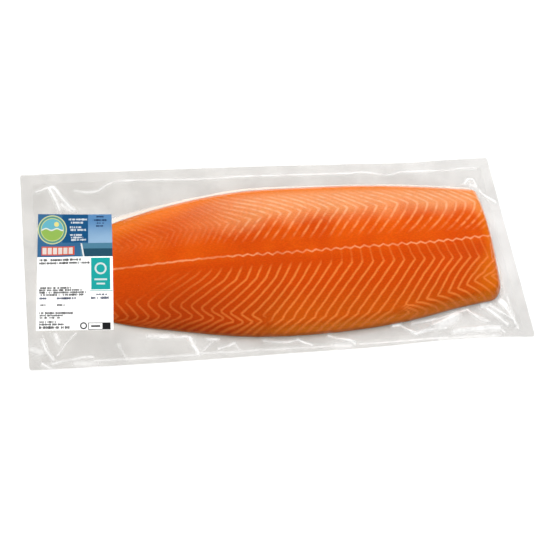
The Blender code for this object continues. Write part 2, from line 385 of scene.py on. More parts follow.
def storeValues(piece, marks):
    for name, values in marks.items():
        layer = piece.data.attributes.new(name, "FLOAT", "POINT")
        layer.data.foreach_set("value", np.asarray(values, np.float32))


def closeUnderneath(piece, level):
    # the rim is extruded straight down to one flat base
    makeActive(piece)
    bpy.ops.object.mode_set(mode="EDIT")
    bpy.ops.mesh.select_all(action="SELECT")
    bpy.ops.mesh.region_to_loop()
    bpy.ops.mesh.extrude_edges_move()
    bpy.ops.object.mode_set(mode="OBJECT")
    for vertex in piece.data.vertices:
        if vertex.select:
            vertex.co.z = level
    bpy.ops.object.mode_set(mode="EDIT")
    bpy.ops.mesh.edge_face_add()
    bpy.ops.mesh.select_all(action="SELECT")
    bpy.ops.mesh.normals_make_consistent(inside=False)
    bpy.ops.object.mode_set(mode="OBJECT")


def smoothBelow(piece, degrees):
    makeActive(piece)
    bpy.ops.object.shade_smooth_by_angle(angle=math.radians(degrees))


# Node helpers
def newMaterial(name):
    material = bpy.data.materials.new(name)
    material.use_nodes = True
    material.node_tree.nodes.clear()
    return material


def addNode(tree, kind, inputs=None, **settings):
    node = tree.nodes.new("ShaderNode" + kind)
    for name, value in settings.items():
        setattr(node, name, value)
    for name, value in (inputs or {}).items():
        feed(tree, node.inputs[name], value)
    return node


def feed(tree, socket, value):
    if isinstance(value, bpy.types.NodeSocket):
        tree.links.new(value, socket)
    else:
        socket.default_value = value


def maths(tree, operation, first, second=0.0, third=0.0, clamp=False):
    node = addNode(tree, "Math", {0: first, 1: second, 2: third}, operation=operation)
    node.use_clamp = clamp
    return node.outputs[0]


def mapped(tree, value, low, high, toLow=0.0, toHigh=1.0):
    spread = {"Value": value, "From Min": low, "From Max": high, "To Min": toLow, "To Max": toHigh}
    return addNode(tree, "MapRange", spread, interpolation_type="SMOOTHSTEP").outputs[0]


def blended(tree, share, first, second):
    node = addNode(tree, "Mix", data_type="RGBA")
    feed(tree, node.inputs[0], share)
    feed(tree, node.inputs[6], first)
    feed(tree, node.inputs[7], second)
    return node.outputs[2]


def attribute(tree, name):
    return addNode(tree, "Attribute", attribute_name=name).outputs["Fac"]


def noise(tree, place, scale, detail=2.0, roughness=0.5):
    inputs = {"Vector": place, "Scale": scale, "Detail": detail, "Roughness": roughness}
    return addNode(tree, "TexNoise", inputs).outputs["Fac"]


def product(tree, first, second):
    return maths(tree, "MULTIPLY", first, second)


def within(tree, value, low, high):
    # 1 between two values, 0 outside them
    above = maths(tree, "GREATER_THAN", value, low)
    return product(tree, above, maths(tree, "LESS_THAN", value, high))


def shaken(tree, value, noisy, swing):
    # how far the value is from 0, made uneven by noise
    shake = maths(tree, "MULTIPLY_ADD", noisy, swing, -swing / 2)
    return maths(tree, "ABSOLUTE", maths(tree, "ADD", value, shake))


def scaledColour(tree, colour, factor):
    return addNode(tree, "VectorMath", {0: colour, 1: factor}, operation="MULTIPLY").outputs[0]


def bumped(tree, height, strength, distance):
    inputs = {"Height": height, "Strength": strength, "Distance": distance}
    return addNode(tree, "Bump", inputs).outputs[0]


def objectPlace(tree):
    return addNode(tree, "TexCoord").outputs["Object"]


def finishMaterial(tree, shader):
    addNode(tree, "OutputMaterial", {"Surface": shader})


def tone(red, green, blue):
    # a screen colour, 0 to 255, as the linear colour that a shader takes
    linear = []
    for value in (red / 255, green / 255, blue / 255):
        linear.append(value / 12.92 if value < 0.0404 else ((value + 0.055) / 1.055) ** 2.4)
    return (*linear, 1.0)


# The fillet
# Fat seams, in millimetres: each seam crosses the lateral line one pitch after the last, and drifts
# along the fish as it runs towards the two long edges
seams = {
    "pitch": 10.66,
    "firstCrossing": -0.3,
    "lateralX": [-180, -140, -100, -60, 0, 80, 160, 200, 235],
    "lateralY": [-12.5, -12.0, -11.0, -10.5, -11.3, -10.0, -8.5, -6.0, -2.5],
    "zigzag": 1.3,
    # rows below the lateral line: the y of a row, then how far a seam has drifted there
    "shoulder": (-20, [60, 100, 130, 160, 230], [-0.5, 0.8, 2.5, 3.6, 4.0]),
    "upperBend": (
        -27.5,
        [-140, -92, -60, 20, 60, 80, 120, 140, 165, 230],
        [-15, -6.5, -4.5, -4.5, -2, 0, 4, 6, 7.5, 6],
    ),
    "midLimb": (
        -38,
        [-150, -110, -60, 26, 62, 96, 143, 163, 183, 220],
        [-33, -24, -11.5, -11.5, -9.8, -6.5, -2.4, -1, -3.2, -6],
    ),
    "longLimb": (
        -45,
        [-162, -121, -92, -64, -28, 26, 62, 96, 142, 182, 220],
        [-45, -36, -28, -21, -17, -17, -15.4, -12.1, -7.7, -10.2, -13],
    ),
    "lowerBendX": [-180, -150, -127, -104, -83, -63, -41, -29, 0, 50, 100, 126, 151, 176, 199, 216, 240],
    "lowerBendY": [
        -47, -54, -58.5, -62, -68, -73, -77, -78.5, -78, -78, -78.5, -77, -71.5, -65.5, -58, -52, -48,
    ],
    "lowerBendDrift": [
        -53, -52, -51, -50, -51, -52.4, -51, -50, -47, -43.4, -38.3, -33.6, -30, -25.5, -24.3, -25, -25,
    ],
    # the second bend: a full zigzag towards both ends, a slight wave in between
    "tailBendTo": -25,
    "headBendFrom": 117,
    "lastBendX": [-180, -146, -112, -89, -75, -57, -33, 0, 60, 117, 139, 165, 199, 240],
    "lastBendY": [-66, -70, -71.5, -76, -77, -83, -84, -84, -84, -83, -84, -79, -71, -62],
    "tailBendDrift": ([-180, -146, -112, -89, -57, -25], [-38, -38, -37, -36, -38, -42]),
    "headBendDrift": ([117, 139, 165, 240], [-8.2, -8, -8, -8]),
    "midWave": -3.5,
    "edgeRun": (
        [-180, -112, -75, -33, 0, 80, 120, 145, 165, 240],
        [-36, -36, -34, -27, -25, -24, -20, -8, 6, 10],
    ),
    "bendRounding": ([-120, -40, 200], [2.2, 0.8, 0.5]),
    # above the lateral line
    "backBendX": [-150, -130, -110, -85, -45, -20, 0, 40, 110, 130, 225],
    "backBendY": [12, 18, 26, 27, 31, 35, 38, 41.5, 41.5, 43.5, 43.5],
    "backBendDrift": [33, 33, 33, 33, 33.4, 36.5, 38, 39, 40, 42.5, 50],
    "backBow": 0.2,
    "topSlopeX": [0, 60, 120, 160, 200],
    "topSlope": [-1.0, -1.0, -0.95, -0.9, -0.85],
    "topFlattening": (0.8, 9),
    "tailCrowding": 0.52,
}


def driftBelow(x, y, lateral):
    def along(stops, values):
        return between(x, stops, values)

    rows = [(lateral, np.zeros_like(x))]
    for name in ("shoulder", "upperBend", "midLimb", "longLimb"):
        level, stops, drift = seams[name]
        rows.append((np.full_like(x, level), along(stops, drift)))
    lowerBend = along(seams["lowerBendX"], seams["lowerBendDrift"])
    rows.append((along(seams["lowerBendX"], seams["lowerBendY"]), lowerBend))
    tailwards, headwards = along(*seams["tailBendDrift"]), along(*seams["headBendDrift"])
    lastBend = np.where(x < seams["tailBendTo"], tailwards, lowerBend + seams["midWave"])
    lastBend = np.where(x > seams["headBendFrom"], headwards, lastBend)
    rows.append((along(seams["lastBendX"], seams["lastBendY"]), lastBend))
    front = edgesOfFlesh(x / 1000)[0] * 1000
    rows.append((front - 3, lastBend + along(*seams["edgeRun"])))
    drift = np.zeros_like(x)
    for (upperY, upperDrift), (lowerY, lowerDrift) in zip(rows, rows[1:]):
        drift += (lowerDrift - upperDrift) * np.clip((upperY - y) / np.maximum(upperY - lowerY, 0.5), 0, 1)
    return drift


def driftAbove(x, y, lateral):
    bendY = between(x, seams["backBendX"], seams["backBendY"])
    bend = between(x, seams["backBendX"], seams["backBendDrift"])
    t = np.clip((y - lateral) / (bendY - lateral), 0, 1)
    bow = seams["backBow"] * ease(60, 200, x) * 4 * t * (1 - t)
    # past the bend the seams lean over more and more
    past = np.maximum(y - bendY, 0)
    more, soon = seams["topFlattening"]
    past = past + more * (past - soon * (1 - np.exp(-past / soon)))
    above = bend * (t + bow) + past * between(x, seams["topSlopeX"], seams["topSlope"])
    return above + seams["tailCrowding"] * np.maximum(-60 - x, 0)


def lateralLine(x):
    return between(x, seams["lateralX"], seams["lateralY"])


def seamTurn(x, y):
    # where a point lies between two seams, as an angle that is 0 on a seam
    lateral = lateralLine(x)
    step = between(x, *seams["bendRounding"])
    below = sum(driftBelow(x, y + shift * step, lateral) for shift in (-1, 0, 1)) / 3
    drift = np.where(y < lateral, below, driftAbove(x, y, lateral))
    return 2 * math.pi * (x - drift - seams["firstCrossing"]) / seams["pitch"]


def buildFillet():
    steps = np.arange(fillet["roundingSteps"]) / fillet["roundingSteps"]
    rounding = fillet["edgeRounding"]
    rim = rounding * (1 - np.cos(steps * math.pi / 2))
    columnCount = fillet["columns"] + 2 * len(rim)
    rowCount = fillet["rows"] + 2 * len(rim)
    piece = addGrid("salmonFillet", columnCount, rowCount)
    points = pointsOf(piece)
    column = np.rint((points[:, 0] + 1) / 2 * columnCount).astype(int)
    row = np.rint((points[:, 1] + 1) / 2 * rowCount).astype(int)

    length = fillet["headX"] - fillet["tailX"]
    middle = np.linspace(rounding, length - rounding, fillet["columns"] + 1)
    x = fillet["tailX"] + np.concatenate([rim, middle, length - rim[::-1]])[column]

    front, back = edgesOfFlesh(x)
    endGap = np.minimum(x - fillet["tailX"], fillet["headX"] - x)
    pulledIn = []
    for side in (-1, 1):
        corner = cornerRadius(x, np.full_like(x, side))
        pulledIn.append(corner - np.sqrt(corner**2 - (corner - np.minimum(endGap, corner)) ** 2))
    low, high = front + pulledIn[0], back - pulledIn[1]
    last = len(rim)
    inMiddle = np.clip((row - last) / fillet["rows"], 0, 1)
    fromFront = np.append(rim, rounding)[np.minimum(row, last)]
    fromBack = np.append(rim, rounding)[np.minimum(rowCount - row, last)]
    y = low + fromFront + (high - low - 2 * rounding) * inMiddle
    y = np.where(row > last + fillet["rows"], high - fromBack, y)
    x = x - fillet["headBulge"] * y**2 * ease(0.10, fillet["headX"], x)

    depth = depthInside(x, y)
    slack = ease(pouch["slackFromX"], pouch["slackToX"], x)
    softer = rounding + (pouch["tailRounding"] - rounding) * slack
    z = fleshHeight(x, y) * roundEdge(depth, softer) - fillet["gapToFilm"]
    fatLine = np.clip(3 * np.cos(seamTurn(x * 1000, y * 1000)) - 2, 0, 1)
    z = np.maximum(z - fillet["seamGroove"] * fatLine, fillet["restHeight"] + fillet["leastThickness"])
    placePoints(piece, x, y, z)
    closeUnderneath(piece, fillet["restHeight"])
    return piece


def markFlesh(piece):
    # values that the flesh's material reads at each point
    points = pointsOf(piece) * 1000
    x, y = points[:, 0], points[:, 1]
    step = 0.05
    lateral = lateralLine(x)
    turn = seamTurn(x, y)
    growX = (seamTurn(x + step, y) - seamTurn(x - step, y)) / (2 * step)
    growY = (seamTurn(x, y + step) - seamTurn(x, y - step)) / (2 * step)
    spacing = 2 * math.pi / np.maximum(np.hypot(growX, growY), 0.1)

    # where the seams show, below the lateral line and above it
    under = ease(-21, -31, y) + 0.35 * ease(40, 90, x) * ease(-31, -21, y)
    tailwards = 0.4 + 0.6 * ease(-120, 10, x)
    under = under * (tailwards + (ease(-160, -30, x) - tailwards) * ease(-56, -42, y))
    breaks = (seams["tailBendTo"], seams["headBendFrom"])
    jumps = sum(np.exp(-(((x - breakX) / 5) ** 2)) for breakX in breaks)
    under = under * (1 - 0.8 * jumps * ease(-73, -80, y))
    over = ease(2, 15, y) * (1 - ease(58, 69, y) * ease(-70, -20, x))
    over = over * (0.22 + 0.78 * ease(-90, -20, x))
    merged = ease(1.8, 3.2, spacing)
    crossing = (x - seams["firstCrossing"]) / seams["pitch"]
    swing = seams["zigzag"] * (0.25 + 0.75 * ease(-70, -30, x))
    zigzag = swing * (2 * np.abs(2 * (crossing - np.floor(crossing)) - 1) - 1)

    # zones of colour, each 1 where it is full
    front, back = edgesOfFlesh(x / 1000)
    toFront, toBack = y - front * 1000, back * 1000 - y
    toHead = (fillet["headX"] - fillet["headBulge"] * (y / 1000) ** 2) * 1000 - x
    bendY = between(x, seams["backBendX"], seams["backBendY"])
    paleFrom = y - bendY + 6 * unevenness(x, y, 22, 11)
    goldWidth = 20 + 16 * ease(-60, -140, x)
    goldLength = 22 + 26 * ease(-10, -50, y)
    marks = {
        "seamCosine": np.cos(turn),
        "seamSine": np.sin(turn),
        "seamSpacing": np.clip(spacing, 2, 14),
        "underSeams": np.where(y < lateral, under * merged, 0),
        "overSeams": np.where(y > lateral, over * merged, 0),
        "lateralAway": y - lateral + zigzag,
        # paler flesh towards the back, partly a painted sheen of light off the back slope
        "backPaleAndSheen": ease(-24, 7, paleFrom) * (0.06 + 0.94 * ease(-140, 10, x)),
        "backGold": ease(goldWidth, 6, toBack) * (1 - 0.5 * ease(60, 200, x)),
        "lowerDeep": ease(0, -12, y - lateral),
        "frontDeep": ease(-20, -80, y) * (1 - 0.75 * ease(-130, 20, x)),
        "frontGold": ease(-45, -85, y) * ease(-80, 0, x),
        # painted light: the front wall is lifted towards gold where it faces away from the lamps
        "frontWallPaintedLight": ease(9, 1.5, toFront) * ease(-80, 20, x),
        "headGold": ease(goldLength, 3, toHead + 3 * unevenness(x, y, 25, 12)),
        "toBackRim": np.minimum(toBack, toHead + 1.0),
        "toFrontRim": toFront,
    }
    storeValues(piece, marks)


# How the flesh looks: screen colours from 0 to 255, and widths in millimetres
fleshLook = {
    "middle": ((222, 78, 2), (229, 90, 6)),
    # zones in the order in which they are laid down: name, colour, share
    "zones": [
        ("lowerDeep", (218, 76, 1), 1.0),
        ("frontGold", (222, 98, 10), 1.0),
        ("frontDeep", (188, 62, 1), 1.0),
        # painted light on the shaded front wall
        ("frontWallPaintedLight", (246, 140, 30), 0.6),
        # paler back flesh, with a painted sheen
        ("backPaleAndSheen", (243, 152, 92), 1.0),
        ("backGold", (246, 124, 22), 1.0),
        ("headGold", (240, 132, 8), 0.6),
    ],
    "underSeam": (248, 136, 60),
    "underSeamWidth": 1.9,
    "underSeamShare": 0.9,
    "overSeam": (250, 148, 84),
    "paleAndSheenOverSeam": (252, 188, 144),
    "overSeamWidth": 2.1,
    "overSeamSpread": 0.36,    # its greatest share of the space between two seams
    "overSeamShare": (0.30, 0.88),
    "seamShake": 1.1,
    "thread": (253, 160, 108),
    "threadWidth": 1.7,
    "threadShake": 2.4,
    "threadShare": (0.55, 0.95),
    # rims of the cut edges: name, where it starts, where it is full, share, colour; the front one is a
    # painted brown shade where the flesh curves under
    "rims": [
        ("toBackRim", 3.4, 2.2, 0.4, (214, 112, 40)),
        ("toFrontRim", 1.3, 0.0, 0.8, (196, 116, 56)),
    ],
    "skin": ((188, 194, 198), (110, 118, 124)),
    "fibre": (0.91, 1.06),
    "roughness": (0.42, 0.55),
    "specular": 0.10,
    "relief": (0.25, 0.0004),  # strength, distance
    "glow": 0.12,              # light that soaks into the flesh
    "glowRadius": (0.005, 0.0015, 0.0005),
}


def fleshMaterial():
    look = fleshLook
    material = newMaterial("salmonFlesh")
    tree = material.node_tree
    place = objectPlace(tree)
    patches = noise(tree, place, 28.0, 3.0)
    stretched = addNode(tree, "Mapping", {"Vector": place, "Scale": (1.0, 2.2, 1.0)}).outputs[0]
    grain = noise(tree, stretched, 420.0, 3.0)

    # flesh, from the deep orange middle to the pale back and the darker front; the pale back is partly a
    # painted sheen, and the front wall gets a painted lift of light
    deep, bright = look["middle"]
    colour = blended(tree, mapped(tree, patches, 0.3, 0.7), tone(*deep), tone(*bright))
    for zone, shade, share in look["zones"]:
        colour = blended(tree, product(tree, attribute(tree, zone), share), colour, tone(*shade))

    # seams of fat, by how far a point is from the middle of its seam
    spacing = attribute(tree, "seamSpacing")
    turn = maths(tree, "ARCTAN2", attribute(tree, "seamSine"), attribute(tree, "seamCosine"))
    turn = shaken(tree, turn, noise(tree, place, 90.0), look["seamShake"])
    away = product(tree, product(tree, turn, 0.5 / math.pi), spacing)
    fine = mapped(tree, away, look["underSeamWidth"], 0.2)
    underShow = product(tree, product(tree, fine, attribute(tree, "underSeams")), look["underSeamShare"])
    colour = blended(tree, underShow, colour, tone(*look["underSeam"]))
    reach = maths(tree, "MINIMUM", product(tree, spacing, look["overSeamSpread"]), look["overSeamWidth"])
    broad = mapped(tree, away, reach, 0.2)
    broken = mapped(tree, noise(tree, place, 120.0), 0.35, 0.62, *look["overSeamShare"])
    overShow = product(tree, product(tree, broad, attribute(tree, "overSeams")), broken)
    # seams in the pale back are lighter, partly by painted sheen
    overTones = tone(*look["overSeam"]), tone(*look["paleAndSheenOverSeam"])
    overTone = blended(tree, attribute(tree, "backPaleAndSheen"), *overTones)
    colour = blended(tree, overShow, colour, overTone)

    # the lateral line, uneven like a drawn thread
    drawn = attribute(tree, "lateralAway")
    drawn = shaken(tree, drawn, noise(tree, place, 150.0, 3.0), look["threadShake"])
    thinned = mapped(tree, noise(tree, place, 55.0), 0.35, 0.6, *look["threadShare"])
    thread = product(tree, mapped(tree, drawn, look["threadWidth"], 0.3), thinned)
    colour = blended(tree, thread, colour, tone(*look["thread"]))
    # rims of the cut edges, the front one a painted brown shade
    for rim, start, full, share, shade in look["rims"]:
        edge = mapped(tree, attribute(tree, rim), start, full)
        colour = blended(tree, product(tree, edge, share), colour, tone(*shade))
    colour = scaledColour(tree, colour, mapped(tree, grain, 0.35, 0.7, *look["fibre"]))

    # the skin shows only underneath
    normal = addNode(tree, "NewGeometry").outputs["Normal"]
    facing = addNode(tree, "SeparateXYZ", {0: normal}).outputs["Z"]
    scales = addNode(tree, "TexVoronoi", {"Vector": place, "Scale": 260.0}).outputs["Distance"]
    bright, dark = look["skin"]
    silver = blended(tree, mapped(tree, scales, 0.1, 0.6), tone(*bright), tone(*dark))
    colour = blended(tree, mapped(tree, facing, -0.3, -0.7), colour, silver)

    relief = maths(tree, "ADD", product(tree, grain, 0.6), product(tree, fine, 0.4))
    shader = addNode(tree, "BsdfPrincipled", {
        "Base Color": colour,
        "Roughness": mapped(tree, patches, 0.3, 0.7, *look["roughness"]),
        "Specular IOR Level": look["specular"],
        "Normal": bumped(tree, relief, *look["relief"]),
        "Subsurface Weight": look["glow"],
        "Subsurface Radius": look["glowRadius"],
        "Subsurface Scale": 1.0,
    })
    finishMaterial(tree, shader.outputs[0])
    return material


salmon = buildFillet()
markFlesh(salmon)
smoothBelow(salmon, 50)
salmon.data.materials.append(fleshMaterial())
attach(salmon, "root")
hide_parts("bag")
print("fillet built")


# The film
def rowLevels():
    stops = pouch["rowStops"]
    bands = zip(stops, stops[1:], pouch["rowFaces"])
    levels = [np.linspace(low, high, count, endpoint=False) for low, high, count in bands]
    return np.append(np.concatenate(levels), 1.0)


def buildFilm():
    levels = rowLevels()
    piece = addGrid("clearFilm", pouch["columns"], len(levels) - 1)
    points = pointsOf(piece)
    row = np.rint((points[:, 1] + 1) / 2 * (len(levels) - 1)).astype(int)
    x = points[:, 0] * bagHigh.x
    front, back = longEdges(x)
    corner = pouch["cornerRadius"]
    short = np.maximum(corner - (bagHigh.x - np.abs(x)), 0)
    pulledIn = corner - np.sqrt(np.maximum(corner**2 - short**2, 0))
    front, back = front + pulledIn, back - pulledIn
    y = (front + back) / 2 + levels[row] * (back - front) / 2
    placePoints(piece, x, y, filmHeight(x, y))
    closeUnderneath(piece, 0.0)
    return piece


def markFilm(piece):
    # values that the film's material reads at each point
    points = pointsOf(piece)
    x, y = points[:, 0], points[:, 1]
    depth = depthInside(x, y)
    # no painted highlight on the underside, whose one face would spread it across the bag
    white = creaseShares(x, y)[0] * ease(0.0005, -0.003, depth)
    white = np.where(points[:, 2] > 0.0003, white, 0)
    # painted highlight: frost on the film that bridges from the fillet's back and head down to the weld,
    # for the light caught there
    awayFromFront = ease(0.0, 0.03, y) + ease(0.20, 0.235, x) * ease(-0.075, -0.04, y)
    awayFromFront = np.clip(awayFromFront, 0, 1)
    slack = ease(-0.10, -0.16, x)
    bridge = ease(-0.0044 - 0.003 * slack, -0.002, depth) * ease(0.0030, 0.001, depth)
    shaded = ease(-0.0055, -0.0005, depth) * ease(0.0015, 0.0, depth) * (1 - awayFromFront)
    inFront = ease(-0.03, -0.08, y)
    # painted shade and light: the film's tint runs from darker and warmer at the tail, with bounce off the
    # flesh, to lighter at the head
    towardsHead = ease(-0.05, 0.24, x) * (0.5 + 0.5 * ease(0.080, 0.03, y)) * (1 - inFront)
    storeValues(piece, {
        "onWeld": ease(0.0008, -0.0008, insideSeal(x, y)),
        "onFlesh": ease(-0.002, 0.001, depth),
        "creaseHighlight": white,
        "bridgeHighlight": bridge * awayFromFront,
        "shaded": shaded * (1 - 0.9 * ease(0.03, 0.17, x)),
        "towardsHead": towardsHead + 0.5 * ease(0.08, 0.24, x) * inFront,
    })


# How the film looks
filmLook = {
    # the film's grey, with painted shade and warm bounce at the tail and painted light at the head
    "shadedTailTint": (0.872, 0.866, 0.857, 1.0),
    "litHeadTint": (0.905, 0.903, 0.900, 1.0),
    "shadedTint": (0.80, 0.74, 0.68, 1.0),
    "clouds": (0.98, 1.015),
    "relief": (0.35, 0.0012),  # strength, distance
    "sheen": (0.09, 0.16),
    "sheenOnFlesh": 0.10,      # added where the film clings
    "glassiness": 1.5,
    "weldFrost": 0.10,
    "waveFrost": 0.06,
    "creaseHighlightShare": (0.55, 0.97),
    "bridgeHighlightFrost": 0.55,
    # frost colours: away from the flesh, and beside it, where the frost is the painted highlight of the
    # bridging film
    "frost": (0.90, 0.895, 0.885, 1.0),
    "bridgeHighlightColour": (0.94, 0.80, 0.67, 1.0),
    "frostRoughness": 0.45,
}


def filmMaterial():
    look = filmLook
    material = newMaterial("clearPouchFilm")
    tree = material.node_tree
    place = objectPlace(tree)
    onFlesh = attribute(tree, "onFlesh")
    bridgeHighlight = attribute(tree, "bridgeHighlight")
    waves = noise(tree, place, 55.0, 2.0, 0.4)
    crinkles = noise(tree, place, 170.0)
    loose = maths(tree, "SUBTRACT", 1.0, onFlesh, clamp=True)
    height = maths(tree, "MULTIPLY_ADD", crinkles, 0.15, waves)
    height = product(tree, height, mapped(tree, loose, 0.0, 1.0, 0.10, 1.0))
    bump = bumped(tree, height, *look["relief"])
    sheen = mapped(tree, waves, 0.3, 0.7, *look["sheen"])
    sheen = maths(tree, "MULTIPLY_ADD", onFlesh, look["sheenOnFlesh"], sheen)
    # the film's tint, with painted shade towards the tail and painted light towards the head
    tint = blended(tree, attribute(tree, "towardsHead"), look["shadedTailTint"], look["litHeadTint"])
    tint = blended(tree, attribute(tree, "shaded"), tint, look["shadedTint"])
    tint = scaledColour(tree, tint, mapped(tree, noise(tree, place, 26.0), 0.3, 0.7, *look["clouds"]))
    clear = addNode(tree, "BsdfTransparent", {"Color": tint})
    gloss = addNode(tree, "BsdfGlossy", {"Color": (1, 1, 1, 1), "Roughness": sheen, "Normal": bump})
    # only the outer faces shine and whiten, the film is not a block of glass
    outer = maths(tree, "SUBTRACT", 1.0, addNode(tree, "NewGeometry").outputs["Backfacing"])
    fresnel = addNode(tree, "Fresnel", {"IOR": look["glassiness"], "Normal": bump}).outputs[0]
    shine = product(tree, fresnel, outer)
    shiny = addNode(tree, "MixShader", {0: shine, 1: clear.outputs[0], 2: gloss.outputs[0]})
    frost = mapped(tree, waves, 0.45, 0.75, 0.0, look["waveFrost"])
    frost = maths(tree, "MULTIPLY_ADD", attribute(tree, "onWeld"), look["weldFrost"], frost)
    frost = product(tree, frost, loose)
    # painted highlights: white haze on the creases, broken by noise into glints
    glint = mapped(tree, noise(tree, place, 75.0), 0.32, 0.62, *look["creaseHighlightShare"])
    frost = maths(tree, "MULTIPLY_ADD", attribute(tree, "creaseHighlight"), glint, frost)
    # the bridging film's painted highlight, a band of pale haze
    frost = maths(tree, "MULTIPLY_ADD", bridgeHighlight, look["bridgeHighlightFrost"], frost, clamp=True)
    frost = product(tree, frost, outer)
    haze = addNode(tree, "BsdfPrincipled", {
        "Base Color": blended(tree, bridgeHighlight, look["frost"], look["bridgeHighlightColour"]),
        "Roughness": look["frostRoughness"],
        "Normal": bump,
    })
    shader = addNode(tree, "MixShader", {0: frost, 1: shiny.outputs[0], 2: haze.outputs[0]})
    finishMaterial(tree, shader.outputs[0])
    return material


film = buildFilm()
markFilm(film)
smoothBelow(film, 60)
film.data.materials.append(filmMaterial())
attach(film, "root")
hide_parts("bag")
print("film built")


# The label
inkStrength = 0.66         # print is held back for the studio's bright light


def ink(red, green, blue):
    return tuple(value * inkStrength for value in tone(red, green, blue)[:3]) + (1.0,)


# Print, in millimetres from the label's upper left corner: left, top, right, bottom, colour
printBlocks = [
    (-5.0, -5.0, 85.0, 52.7, ink(58, 114, 160)),
    (25.7, -5.0, 52.9, 35.1, ink(11, 87, 138)),
    (52.9, -5.0, 85.0, 36.2, ink(96, 149, 200)),
    (44.8, 36.2, 85.0, 52.7, ink(84, 140, 168)),
    (47.0, 43.0, 85.0, 52.7, ink(34, 84, 108)),
    (4.2, 39.9, 38.5, 50.6, ink(238, 92, 60)),
    (55.6, 54.2, 75.2, 91.7, ink(20, 182, 178)),
    (54.4, 92.6, 77.6, 93.4, ink(110, 195, 190)),
]
darkInk = ink(34, 35, 37)
navyInk = ink(20, 48, 92)
paleInk = ink(240, 246, 250)
tealPaleInk = ink(236, 250, 248)
paper = tone(253, 253, 252)
# Boxes are left, top, right, bottom, and ovals are middle across, middle down, half width, half height
printShapes = {
    "sky": (52.9, -5.0, 85.0, 36.2),
    "skyFade": (5.0, 34.0),
    "slantBox": (42.0, 36.4, 50.0, 52.7),
    "slant": (40.0, -0.153, 0.8),           # from, lean, half width
    "tileBox": (5.2, 41.3, 37.2, 49.3),
    "tilePitch": 5.45,
    "tileShare": 0.78,
    "seal": (15.2, 19.1, 15.2, 17.9),
    "sealRings": [(1.0, ink(228, 234, 170)), (0.93, ink(96, 160, 150)), (0.80, ink(222, 232, 150))],
    "sealPicture": 0.75,
    "wave": (0.55, 1.1, 18.8, 0.8),         # turn for each millimetre, height, middle, half width
    "sun": (19.6, 12.4, 2.6, 3.0),
    "ring": (65.4, 67.0, 6.2, 7.0),
    "ringHole": 0.7,
    "bars": [(58.9, 78.9, 71.9, 80.9), (61.1, 83.9, 69.7, 85.9)],
    "disc": (47.6, 132.8, 3.6, 4.0),
    "discHole": 0.62,
    "pill": [
        (52.1, 129.3, 75.1, 137.3, darkInk),
        (52.9, 130.1, 66.7, 136.5, paper),
        (55.2, 132.3, 64.6, 134.3, darkInk),
    ],
}
# Strokes that stand for small print
strokes = {
    "pitch": 0.8,
    "gapShare": 0.14,          # cells left empty, as between words
    "width": (0.25, 0.68),     # swing, least share of its cell
    "height": (0.22, 0.28),
}
# Rows of strokes, by their ink: left, right, middle height, row height
printRows = [
    (paleInk, [
        (32.3, 51.8, 6.2, 2.6), (34.8, 47.5, 10.2, 2.6), (33.7, 45.4, 16.0, 2.6),
        (34.3, 50.6, 19.3, 2.8), (33.8, 46.4, 25.6, 2.6), (34.8, 47.4, 28.8, 2.6),
        (34.8, 50.6, 31.8, 2.6),
    ]),
    (navyInk, [
        (61.8, 69.6, 2.6, 2.2), (58.0, 73.1, 7.0, 2.6), (61.3, 69.8, 10.8, 2.2),
        (61.3, 69.8, 14.4, 2.2), (2.4, 10.0, 101.3, 2.6), (20.4, 40.0, 101.3, 2.6),
        (60.5, 71.6, 97.4, 2.2), (55.4, 73.6, 101.3, 3.2),
    ]),
    (darkInk, [
        (1.7, 45.2, 56.3, 3.0), (1.8, 54.1, 60.1, 3.0), (2.2, 35.9, 89.3, 2.6), (2.2, 47.2, 91.9, 2.6),
        (2.3, 50.3, 94.6, 2.6), (2.3, 47.7, 97.3, 2.6), (2.5, 9.1, 109.0, 2.4),
        (20.5, 28.8, 109.0, 2.4), (2.6, 37.3, 118.2, 3.2), (2.6, 26.8, 121.0, 2.2),
        (2.7, 23.8, 123.5, 2.6), (2.7, 9.8, 128.3, 2.4), (11.2, 19.8, 128.3, 2.4),
        (2.8, 27.6, 131.1, 2.6), (2.8, 33.6, 134.6, 3.4),
    ]),
]


def printGroup(name, measures, result):
    # a node group that reads a point of the label, across and down, and four measures
    group = bpy.data.node_groups.new(name, "ShaderNodeTree")
    for measure in ("Across", "Down", *measures):
        group.interface.new_socket(name=measure, in_out="INPUT", socket_type="NodeSocketFloat")
    group.interface.new_socket(name=result, in_out="OUTPUT", socket_type="NodeSocketFloat")
    return group, group.nodes.new("NodeGroupInput").outputs, group.nodes.new("NodeGroupOutput").inputs


def printedBox():
    # 1 inside an upright box of the print
    group, given, made = printGroup("printedBox", ("Left", "Top", "Right", "Bottom"), "Mask")
    inX = within(group, given["Across"], given["Left"], given["Right"])
    inY = within(group, given["Down"], given["Top"], given["Bottom"])
    group.links.new(product(group, inX, inY), made["Mask"])
    return group


def printedOval():
    # 0 at the middle of an oval, 1 at its edge
    measures = ("Middle Across", "Middle Down", "Half Width", "Half Height")
    group, given, made = printGroup("printedOval", measures, "Reach")
    squares = []
    for way, half in (("Across", "Half Width"), ("Down", "Half Height")):
        off = maths(group, "SUBTRACT", given[way], given["Middle " + way])
        off = maths(group, "DIVIDE", off, given[half])
        squares.append(product(group, off, off))
    group.links.new(maths(group, "SQRT", maths(group, "ADD", *squares)), made["Reach"])
    return group


